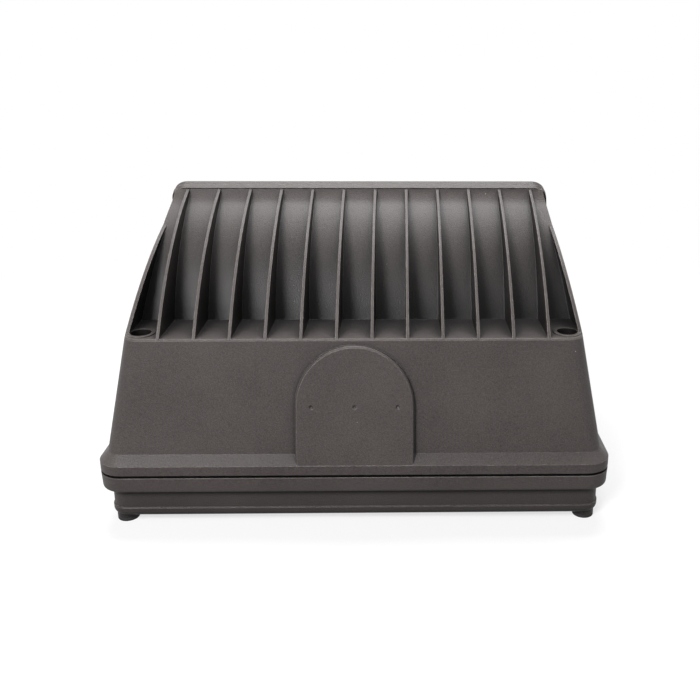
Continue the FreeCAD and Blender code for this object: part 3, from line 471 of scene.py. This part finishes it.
def choose(piece, kind, test):  # selects the faces or edges that pass the test
    bpy.ops.mesh.select_mode(type=kind)
    bpy.ops.mesh.select_all(action="DESELECT")
    mesh = bmesh.from_edit_mesh(piece.data)
    for part in mesh.faces if kind == "FACE" else mesh.edges:
        part.select_set(test(part))
    bmesh.update_edit_mesh(piece.data)


def level(part, z):             # true for a face or edge that lies at one height
    return all(abs(v.co.z - z) < tiny for v in part.verts)


def applyModifier(piece, kind, **settings):
    activate(piece)
    modifier = piece.modifiers.new(kind.lower(), kind)
    for name, value in settings.items():
        setattr(modifier, name, value)
    bpy.ops.object.modifier_apply(modifier=modifier.name)


def cutWith(piece, cutter):
    applyModifier(piece, "BOOLEAN", operation="DIFFERENCE", solver="EXACT", object=cutter)
    bpy.data.objects.remove(cutter)


def bevelEdges(piece, width, angle):
    applyModifier(piece, "BEVEL", width=width, segments=2, limit_method="ANGLE",
                  angle_limit=math.radians(angle), use_clamp_overlap=True)


def smooth(piece, angle=30):
    activate(piece)
    bpy.ops.object.shade_smooth_by_angle(angle=math.radians(angle))
    applyModifier(piece, "WEIGHTED_NORMAL", keep_sharp=True)


def joinPieces(pieces, name):
    activate(pieces[0])
    for piece in pieces:
        piece.select_set(True)
    if len(pieces) > 1:
        bpy.ops.object.join()
    rename(pieces[0], name)
    return pieces[0]


def finishPiece(piece, slot, body, *stoodFor):
    piece.data.materials.clear()
    piece.data.materials.append(materials[slotMaterials[slot]])
    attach(piece, body)
    if stoodFor:
        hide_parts(*stoodFor)
    return piece


# castings and pressed parts: the CAD shape with its edges rounded

softening = {"merge": 0.02 * mm, "flat": 1.0, "castingFlat": 0.3, "bevelAngle": 32.0}
softEdges = {                   # piece and edge width
    "front_housing": ("housingCasting", 0),
    "back_box": ("boxCasting", 0),
    "lens_frame": ("lensFrameCasting", 0),
    "lens_glass": ("lensPane", 0.25 * mm),
    "driver_bracket": ("driverStrap", 0.25 * mm),
    "foot_pads": ("footPads", 0.50 * mm),
    "conduit_plug": ("conduitPlug", 0.30 * mm),
    "hinge_pins": ("hingePins", 0.45 * mm),
    "reflector_tray": ("reflectorTray", 0.20 * mm),
    "led_board": ("ledBoard", 0.12 * mm),
    "terminal_block": ("terminalBlock", 0.35 * mm),
    "supply_plug": ("supplyPlug", 0.60 * mm),
    "lead_grommet": ("leadGrommet", 0.30 * mm),
    "housing_gasket": ("housingGasket", 0.60 * mm),
}


def softenNode(nodeName):       # castings have no edge width: their coat rounds them in the shading
    pieceName, width = softEdges[nodeName]
    activate(cadNodes[nodeName])
    bpy.ops.object.duplicate()
    piece = bpy.context.active_object
    del piece["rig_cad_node"]
    piece.parent = None
    rename(piece, pieceName)
    bpy.ops.object.mode_set(mode="EDIT")
    bpy.ops.mesh.select_all(action="SELECT")
    bpy.ops.mesh.remove_doubles(threshold=softening["merge"])
    bpy.ops.mesh.customdata_custom_splitnormals_clear()
    flat = softening["flat"] if width else softening["castingFlat"]
    bpy.ops.mesh.dissolve_limited(angle_limit=math.radians(flat))
    bpy.ops.object.mode_set(mode="OBJECT")
    if width:
        bevelEdges(piece, width, softening["bevelAngle"])
    smooth(piece)
    return finishPiece(piece, nodeSlots[nodeName], nodeBodies[nodeName], nodeName)


for nodeName in softEdges:
    made = softenNode(nodeName)
    print("edges rounded:", made.name, len(made.data.polygons), "faces")


def islandBoxes(nodeName, turned=Matrix.Identity(4)):      # the box of each separate solid of a node
    mesh = bmesh.new()
    mesh.from_mesh(cadNodes[nodeName].data)
    bmesh.ops.remove_doubles(mesh, verts=mesh.verts, dist=tiny)
    boxes = []
    left = set(mesh.verts)
    while left:
        island = {left.pop()}
        edge = set(island)
        while edge:
            edge = {e.other_vert(v) for v in edge for e in v.link_edges} - island
            island |= edge
        left -= island
        points = [turned @ v.co for v in island]
        boxes.append([Vector(f(p[i] for p in points) for i in range(3)) for f in (min, max)])
    mesh.free()
    return boxes


# the lens slope: x across, s down the slope, h outwards, as in the CAD

slope = {"rimY": 11.102 * mm, "rimZ": 222.4 * mm, "angle": 58.0}


def slopeMatrix(x, s, h):
    turn = math.radians(slope["angle"])
    down = Vector((0, math.cos(turn), -math.sin(turn)))
    out = Vector((0, math.sin(turn), math.cos(turn)))
    place = Vector((x, slope["rimY"], slope["rimZ"])) + down * s + out * h
    matrix = Matrix((Vector((1, 0, 0)), down, out)).transposed().to_4x4()
    matrix.translation = place
    return matrix


# screws, modelled once for each kind and copied

screws = {
    "frame": {
        "head": 3.6 * mm, "height": 2.2 * mm, "shank": 1.95 * mm, "length": 8.6 * mm, "dome": 0.8 * mm,
        "drive": "hex", "driveSize": 1.45 * mm, "driveDepth": 1.3 * mm, "sides": 28,
    },
    "board": {
        "head": 2.9 * mm, "height": 2.0 * mm, "shank": 1.4 * mm, "length": 3.6 * mm, "dome": 0.7 * mm,
        "drive": "cross", "driveSize": 1.6 * mm, "driveDepth": 1.1 * mm, "sides": 28,
    },
    "bracket": {
        "head": 3.8 * mm, "height": 2.4 * mm, "shank": 1.9 * mm, "length": 9.0 * mm, "dome": 0.9 * mm,
        "drive": "cross", "driveSize": 2.1 * mm, "driveDepth": 1.3 * mm, "sides": 28,
    },
    "ground": {
        "head": 5.0 * mm, "height": 3.5 * mm, "shank": 2.4 * mm, "length": 5.8 * mm, "dome": 0.5 * mm,
        "drive": "slot", "driveSize": 5.5 * mm, "driveDepth": 1.3 * mm, "sides": 6,
    },
    "terminal": {
        "head": 2.6 * mm, "height": 3.5 * mm, "shank": 1.6 * mm, "length": 1.6 * mm, "dome": 0.4 * mm,
        "drive": "slot", "driveSize": 2.9 * mm, "driveDepth": 1.1 * mm, "sides": 28,
    },
}
screwFinish = {
    "domeSegments": 4, "edge": 0.12 * mm, "edgeAngle": 50, "barWidth": 0.62 * mm,
    "acrossFlats": 0.86,        # how far a hexagon's flats are out, against its corners
}


def driveCutter(kind, size, depth, top, width=screwFinish["barWidth"]):
    clearSelection()
    if kind == "hex":
        bpy.ops.mesh.primitive_cylinder_add(vertices=6, radius=size, depth=2 * depth, location=(0, 0, top))
        return newest("cutter")
    widths = [(2 * size, width)] if kind == "slot" else [(2 * size, width), (width, 2 * size)]
    bars = []
    for long, wide in widths:
        clearSelection()
        bpy.ops.mesh.primitive_cube_add(size=1, location=(0, 0, top), scale=(long, wide, 2 * depth))
        bars.append(newest("cutter"))
    if len(bars) > 1:
        applyModifier(bars[0], "BOOLEAN", operation="UNION", solver="EXACT", object=bars[1])
        bpy.data.objects.remove(bars[1])
    return bars[0]


def makeScrew(kind):
    spec = screws[kind]
    clearSelection()
    bpy.ops.mesh.primitive_cylinder_add(vertices=spec["sides"], radius=spec["head"], depth=spec["height"],
                                        location=(0, 0, spec["height"] / 2))
    screw = newest(kind + "Screw")
    bpy.ops.object.mode_set(mode="EDIT")
    choose(screw, "EDGE", lambda e: level(e, spec["height"]))
    bpy.ops.mesh.bevel(offset=spec["dome"], segments=screwFinish["domeSegments"])
    choose(screw, "FACE", lambda f: level(f, 0))
    flats = screwFinish["acrossFlats"] if spec["sides"] == 6 else 1.0
    bpy.ops.mesh.inset(thickness=spec["head"] * flats - spec["shank"])
    bpy.ops.mesh.extrude_region_move(TRANSFORM_OT_translate={"value": (0, 0, -spec["length"])})
    bpy.ops.mesh.select_all(action="SELECT")
    bpy.ops.mesh.normals_make_consistent(inside=False)
    bpy.ops.object.mode_set(mode="OBJECT")
    cutWith(screw, driveCutter(spec["drive"], spec["driveSize"], spec["driveDepth"], spec["height"]))
    bevelEdges(screw, screwFinish["edge"], screwFinish["edgeAngle"])
    smooth(screw)
    return screw


def placeScrews(kind, name, matrices, slot, body, *stoodFor):
    first = makeScrew(kind)
    copies = []
    for matrix in matrices:
        copy = first.copy()
        copy.data = first.data.copy()
        bpy.context.scene.collection.objects.link(copy)
        copy.data.transform(matrix)
        copies.append(copy)
    bpy.data.objects.remove(first)
    finishPiece(joinPieces(copies, name), slot, body, *stoodFor)
    print("screws placed:", name, len(matrices))


frameSeat = 7.7                 # height of the screw seats over the lip, in mm
boardTop = -43.9                # height of the board's face, in mm
boardHoles = [(x, s) for x in (-120, 0, 120) for s in (39, 139)]        # across and down the slope, in mm
bracketSeat = (92.0, -73.4, 98.7)
groundSeat = (74.0, -58.0, 17.5)
terminalSeat = (11.5, -58.0, 21.5)
overSlope = slopeMatrix(0, 0, 0).inverted()
placeScrews("frame", "lensFrameScrews",
            [slopeMatrix((low.x + high.x) / 2, (low.y + high.y) / 2, frameSeat * mm)
             for low, high in islandBoxes("lens_frame_screws", overSlope)],
            "steel", "front_housing", "lens_frame_screws")
placeScrews("board", "boardScrews", [slopeMatrix(x * mm, s * mm, boardTop * mm) for x, s in boardHoles],
            "steel", "front_housing")
placeScrews("bracket", "bracketScrews",
            [Matrix.Translation(Vector((side * bracketSeat[0], *bracketSeat[1:])) * mm)
             @ Matrix.Rotation(math.pi, 4, "X") for side in (-1, 1)],
            "steel", "front_housing")
placeScrews("ground", "groundScrew", [Matrix.Translation(Vector(groundSeat) * mm)],
            "ground_green", "back_box", "ground_screw")
placeScrews("terminal", "terminalScrews",
            [Matrix.Translation(Vector((i * terminalSeat[0], *terminalSeat[1:])) * mm) for i in (-1, 0, 1)],
            "steel", "back_box")


# captive screws: a slotted hexagon head on a threaded shank

captive = {
    "head": 6.2 * mm, "headHeight": 4.5 * mm, "crown": 0.9 * mm, "edge": 0.2 * mm, "edgeAngle": 25,
    "slotWidth": 1.4 * mm, "slotDepth": 1.8 * mm, "shank": 2.94 * mm, "core": 2.35 * mm, "tip": 0.9 * mm,
    "thread": 15.5 * mm, "pitch": 1.25 * mm, "threadSteps": 24,
    "crownSides": 48, "shankSides": 32, "tipSegments": 2, "weld": 1e-7,
    "ridge": 0.45, "start": 1.4, "runOut": 2.2,     # in pitches: its radius, and where it starts and ends
}


def captiveHead():
    radius, height = captive["head"], captive["headHeight"]
    clearSelection()
    bpy.ops.mesh.primitive_cylinder_add(vertices=6, radius=radius, depth=height, location=(0, 0, height / 2),
                                        rotation=(0, 0, math.pi / 6))
    head = newest("captiveHead")
    clearSelection()
    bpy.ops.mesh.primitive_cone_add(vertices=captive["crownSides"], radius1=radius + height,
                                    radius2=radius - captive["crown"], depth=height,
                                    location=(0, 0, height / 2))
    crown = newest("crown")
    applyModifier(head, "BOOLEAN", operation="INTERSECT", solver="EXACT", object=crown)
    bpy.data.objects.remove(crown)
    cutWith(head, driveCutter("slot", radius, captive["slotDepth"], height, captive["slotWidth"]))
    bevelEdges(head, captive["edge"], captive["edgeAngle"])
    return head


def captiveShank(length):
    plain = length - captive["thread"]
    clearSelection()
    bpy.ops.mesh.primitive_cylinder_add(vertices=captive["shankSides"], radius=captive["shank"], depth=plain,
                                        location=(0, 0, -plain / 2))
    shank = newest("captiveShank")
    bpy.ops.object.mode_set(mode="EDIT")
    choose(shank, "FACE", lambda f: level(f, -plain))
    bpy.ops.mesh.inset(thickness=captive["shank"] - captive["core"])
    bpy.ops.mesh.extrude_region_move(TRANSFORM_OT_translate={"value": (0, 0, -captive["thread"])})
    bpy.ops.mesh.bevel(offset=captive["tip"], segments=captive["tipSegments"])
    bpy.ops.object.mode_set(mode="OBJECT")
    return shank


def captiveThread(length):      # a three-sided ridge wound round the core
    pitch = captive["pitch"]
    clearSelection()
    bpy.ops.mesh.primitive_circle_add(vertices=3, radius=pitch * captive["ridge"], fill_type="NGON",
                                      location=(captive["core"], 0, -length + pitch * captive["start"]),
                                      rotation=(math.pi / 2, 0, 0))
    ridge = newest("captiveThread")
    reach = max(v.co.x for v in ridge.data.vertices)
    ridge.data.transform(Matrix.Translation((captive["shank"] - reach, 0, 0)))
    turns = int((captive["thread"] - captive["runOut"] * pitch) / pitch)
    applyModifier(ridge, "SCREW", axis="Z", angle=math.tau, screw_offset=pitch, iterations=turns,
                  steps=captive["threadSteps"], use_merge_vertices=True, merge_threshold=captive["weld"])
    return ridge


def makeCaptiveScrew(side):
    nodeName = "captive_screw_" + side
    low, high = islandBoxes(nodeName)[0]
    seat = high.z - captive["headHeight"]
    length = seat - low.z
    screw = joinPieces([captiveHead(), captiveShank(length), captiveThread(length)],
                       "captiveScrew" + side.capitalize())
    screw.data.transform(Matrix.Translation(((low.x + high.x) / 2, (low.y + high.y) / 2, seat)))
    smooth(screw)
    finishPiece(screw, "steel", nodeBodies[nodeName], nodeName)
    print("captive screw made:", side)


for side in ("left", "right"):
    makeCaptiveScrew(side)


# LEDs: a ceramic base with a silicone dome, in rows down the board

leds = {
    "size": 5.0 * mm, "base": 0.75 * mm, "corner": 0.5 * mm, "rim": 0.3 * mm, "hollow": 0.12 * mm,
    "dome": 1.95 * mm, "domeHeight": 0.62 * mm, "domeSunk": 0.05 * mm,
    "domeSegments": 12, "domeRings": 6, "domeAngle": 50,
    "columns": 14, "rows": 6, "pitch": 17.0 * mm, "middle": 89.0 * mm,
}


def spreadLeds(piece):
    step = leds["pitch"]
    for count, offset in ((leds["columns"], (step, 0, 0)), (leds["rows"], (0, step, 0))):
        applyModifier(piece, "ARRAY", count=count, use_relative_offset=False, use_constant_offset=True,
                      constant_offset_displace=offset)
    across = -(leds["columns"] - 1) / 2 * step
    down = leds["middle"] - (leds["rows"] - 1) / 2 * step
    piece.data.transform(slopeMatrix(across, down, boardTop * mm))


def makeLedBases():
    clearSelection()
    bpy.ops.mesh.primitive_cube_add(size=1, location=(0, 0, leds["base"] / 2),
                                    scale=(leds["size"], leds["size"], leds["base"]))
    base = newest("ledBases")
    bpy.ops.object.mode_set(mode="EDIT")
    choose(base, "EDGE", lambda e: abs(e.verts[0].co.z - e.verts[1].co.z) > tiny)
    bpy.ops.mesh.bevel(offset=leds["corner"], segments=1)
    choose(base, "FACE", lambda f: level(f, leds["base"]))
    bpy.ops.mesh.inset(thickness=leds["rim"])
    bpy.ops.mesh.extrude_region_move(TRANSFORM_OT_translate={"value": (0, 0, -leds["hollow"])})
    bpy.ops.object.mode_set(mode="OBJECT")
    spreadLeds(base)
    finishPiece(base, "board_white", "front_housing", "led_chips")


def makeLedDomes():
    clearSelection()
    bpy.ops.mesh.primitive_uv_sphere_add(segments=leds["domeSegments"], ring_count=leds["domeRings"],
                                         radius=leds["dome"])
    dome = newest("ledDomes")
    bpy.ops.object.mode_set(mode="EDIT")
    bpy.ops.mesh.select_all(action="SELECT")
    bpy.ops.mesh.bisect(plane_co=(0, 0, 0), plane_no=(0, 0, 1), clear_inner=True, use_fill=True)
    bpy.ops.mesh.select_all(action="SELECT")
    bpy.ops.transform.resize(value=(1, 1, leds["domeHeight"] / leds["dome"]))
    bpy.ops.transform.translate(value=(0, 0, leds["base"] - leds["domeSunk"]))
    bpy.ops.object.mode_set(mode="OBJECT")
    smooth(dome, leds["domeAngle"])
    spreadLeds(dome)
    finishPiece(dome, "led_phosphor", "front_housing")


makeLedBases()
makeLedDomes()
print("LEDs placed:", leds["columns"] * leds["rows"])


# light and floor

studio = {
    "lamps": {
        "overhead": {"place": (0.0, 0.55, 1.75), "size": (1.3, 0.5), "power": 42.0},
        "frontLeft": {"place": (-0.75, -1.45, 1.30), "size": (0.6, 0.6), "power": 50.0},
        "highRight": {"place": (1.50, -1.05, 1.25), "size": (0.8, 0.8), "power": 9.0},
    },
    "ambient": 0.06,
    "floorSize": 16,
    "floorRoughness": 0.9,
    "floorSeen": 0.80,          # colour of the floor as the camera sees it
    "floorLit": 0.06,           # and for light that bounces off it, dark so that little reaches the object
    "floorShadow": 0.30,        # how much of the object's shadow shows on the white
    "shadowFade": (0.28, 0.75),     # metres from the middle where it starts to fade and where it is gone
}


def makeLamps():
    target = (cadBox[0] + cadBox[1]) / 2
    for name, values in studio["lamps"].items():
        data = bpy.data.lights.new(name + "Panel", "AREA")
        data.shape = "RECTANGLE"
        data.size, data.size_y = values["size"]
        data.energy = values["power"]
        lamp = bpy.data.objects.new(name + "Panel", data)
        lamp.location = values["place"]
        lamp.rotation_euler = (target - lamp.location).to_track_quat("-Z", "Y").to_euler()
        bpy.context.scene.collection.objects.link(lamp)


def seenMask(tree, path):       # by the camera, in a reflection or through glass
    mirrored = mathNode(tree, "MAXIMUM", path.outputs["Is Camera Ray"], path.outputs["Is Glossy Ray"])
    return mathNode(tree, "MAXIMUM", mirrored, path.outputs["Is Transmission Ray"])


def makeWorld():                # white where it is seen, dim where it lights
    world = bpy.data.worlds.new("studio")
    bpy.context.scene.world = world
    world.use_nodes = True
    tree = world.node_tree
    background = [n for n in tree.nodes if n.type == "BACKGROUND"][0]
    seen = seenMask(tree, addNode(tree, "ShaderNodeLightPath"))
    ambient = (studio["ambient"],) * 3
    tree.links.new(mixColours(tree, seen, ambient, (1, 1, 1)), background.inputs["Color"])


def makeFloor():                # white where it is seen, apart from the object's shadow
    clearSelection()
    bpy.ops.mesh.primitive_plane_add(size=studio["floorSize"], location=(0, 0, 0))
    floor = newest("floor")
    material, tree, shader, vector = startMaterial("paleFloor")
    output = [n for n in tree.nodes if n.type == "OUTPUT_MATERIAL"][0]
    shader.inputs["Roughness"].default_value = studio["floorRoughness"]
    shader.inputs["Specular IOR Level"].default_value = 0
    white = addNode(tree, "ShaderNodeEmission")
    path = addNode(tree, "ShaderNodeLightPath")
    colour = mixColours(tree, path.outputs["Is Camera Ray"], (studio["floorLit"],) * 3,
                        (studio["floorSeen"],) * 3)
    tree.links.new(colour, shader.inputs["Base Color"])
    distance = addNode(tree, "ShaderNodeVectorMath", operation="LENGTH")
    tree.links.new(vector, distance.inputs[0])
    far = rangeNode(tree, distance.outputs["Value"], *studio["shadowFade"], 1 - studio["floorShadow"])
    blend = addNode(tree, "ShaderNodeMixShader")
    tree.links.new(mathNode(tree, "MULTIPLY", seenMask(tree, path), far), blend.inputs[0])
    tree.links.new(shader.outputs[0], blend.inputs[1])
    tree.links.new(white.outputs[0], blend.inputs[2])
    tree.links.new(blend.outputs[0], output.inputs["Surface"])
    floor.data.materials.append(material)


makeLamps()
makeWorld()
makeFloor()
bpy.context.scene.view_settings.view_transform = "Standard"
print("studio set")
